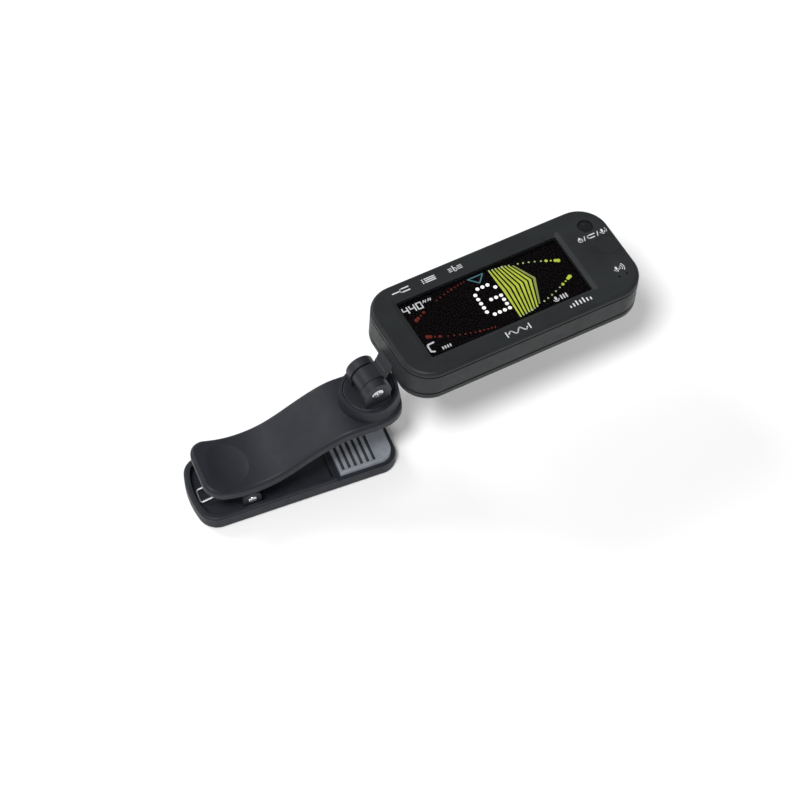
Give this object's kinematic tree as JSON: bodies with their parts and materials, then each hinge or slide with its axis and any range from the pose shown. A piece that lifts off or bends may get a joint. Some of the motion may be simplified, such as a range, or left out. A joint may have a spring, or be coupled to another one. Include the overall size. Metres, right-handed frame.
{
  "type": "clip on tuner",
  "caption": "Instrument tuner: a sprung clip with rubber jaws, a swivel and tilt hinge, and a flat display head with push buttons.",
  "frame": {"origin": "on the gripping face of the lower jaw pad, straight below the swivel axis", "axes": "+Z from the lower jaw to the upper jaw, +X along the clip from the thumb tabs to the jaw tips, +Y across it"},
  "size_m": [0.1317, 0.0387, 0.0462],
  "materials": {
    "clip_plastic": "fine matt texture, charcoal",
    "hinge_plastic": "fine matt texture, charcoal",
    "case_plastic": "soft matt charcoal",
    "button_plastic": "satin charcoal",
    "pad_rubber": "grey moulded rubber",
    "bright_pin": "bright plated steel",
    "spring_wire": "drawn spring wire",
    "plain_steel": "zinc-plated steel",
    "black_steel": "blackened steel",
    "washer_plastic": "plain nylon",
    "lens_clear": "clear hard-coated acrylic",
    "display_glass": "near-black display stack",
    "diffuser_white": "white light guide",
    "flex_amber": "amber flexible circuit",
    "board_green": "green solder mask",
    "chip_black": "black moulding compound",
    "cell_foil": "pouch foil",
    "piezo_brass": "brass disc with a ceramic layer",
    "capsule_aluminium": "pressed can"
  },
  "bodies": {
    "lower_clip": {"lower_lever": "clip_plastic", "lower_jaw_pad": "pad_rubber", "pivot_pin": "bright_pin", "torsion_spring": "spring_wire"},
    "upper_clip": {"upper_lever": "clip_plastic", "upper_jaw_pad": "pad_rubber"},
    "yoke": {"turntable": "hinge_plastic", "swivel_washer": "plain_steel", "swivel_screw": "plain_steel", "hinge_screw": "bright_pin", "hinge_nut": "plain_steel", "hinge_washers": "washer_plastic"},
    "head": {"hinge_tongue": "hinge_plastic", "back_cover": "case_plastic", "middle_frame": "case_plastic", "front_bezel": "case_plastic", "case_screws": "black_steel", "screen_lens": "lens_clear", "lcd_panel": "display_glass", "backlight": "diffuser_white", "lcd_ribbon": "flex_amber", "main_board": "board_green", "microcontroller": "chip_black", "audio_amplifier": "chip_black", "clock_crystal": "plain_steel", "battery": "cell_foil", "battery_tape": "washer_plastic", "piezo_disc": "piezo_brass", "microphone": "capsule_aluminium", "usb_socket": "plain_steel", "power_switch": "chip_black", "side_switches": "chip_black"},
    "power_key": {"power_button": "button_plastic"},
    "pitch_key": {"pitch_button": "button_plastic"},
    "item_key": {"item_button": "button_plastic"},
    "flat_key": {"flat_button": "button_plastic"}
  },
  "joints": [
    {"name": "clip_hinge", "type": "hinge", "parent": "lower_clip", "child": "upper_clip", "pos_m": [-0.0375, 0, 0.0007], "axis": [0, -1, 0], "range_deg": [-16.5, 22], "stiffness_Nm_per_rad": 0.7, "springref_deg": 2.58, "deforming": ["torsion_spring"]},
    {"name": "swivel", "type": "hinge", "parent": "upper_clip", "child": "yoke", "pos_m": [0, 0, 0.0205], "axis": [0, 0, 1], "continuous": true},
    {"name": "tilt", "type": "hinge", "parent": "yoke", "child": "head", "pos_m": [0, 0, 0.0258], "axis": [0.1305, -0.9914, 0], "range_deg": [-8, 112]},
    {"name": "power_press", "type": "slide", "parent": "head", "child": "power_key", "axis": [-0.0519, -0.0068, -0.9986], "range_m": [0, 0.00035], "stiffness_N_per_m": 1500, "springref_m": -0.0001},
    {"name": "pitch_press", "type": "slide", "parent": "head", "child": "pitch_key", "axis": [0.1305, -0.9914, 0], "range_m": [0, 0.00035], "stiffness_N_per_m": 1500, "springref_m": -0.0001},
    {"name": "item_press", "type": "slide", "parent": "head", "child": "item_key", "axis": [0.1305, -0.9914, 0], "range_m": [0, 0.00035], "stiffness_N_per_m": 1500, "springref_m": -0.0001},
    {"name": "flat_press", "type": "slide", "parent": "head", "child": "flat_key", "axis": [0.1305, -0.9914, 0], "range_m": [0, 0.00035], "stiffness_N_per_m": 1500, "springref_m": -0.0001}
  ]
}
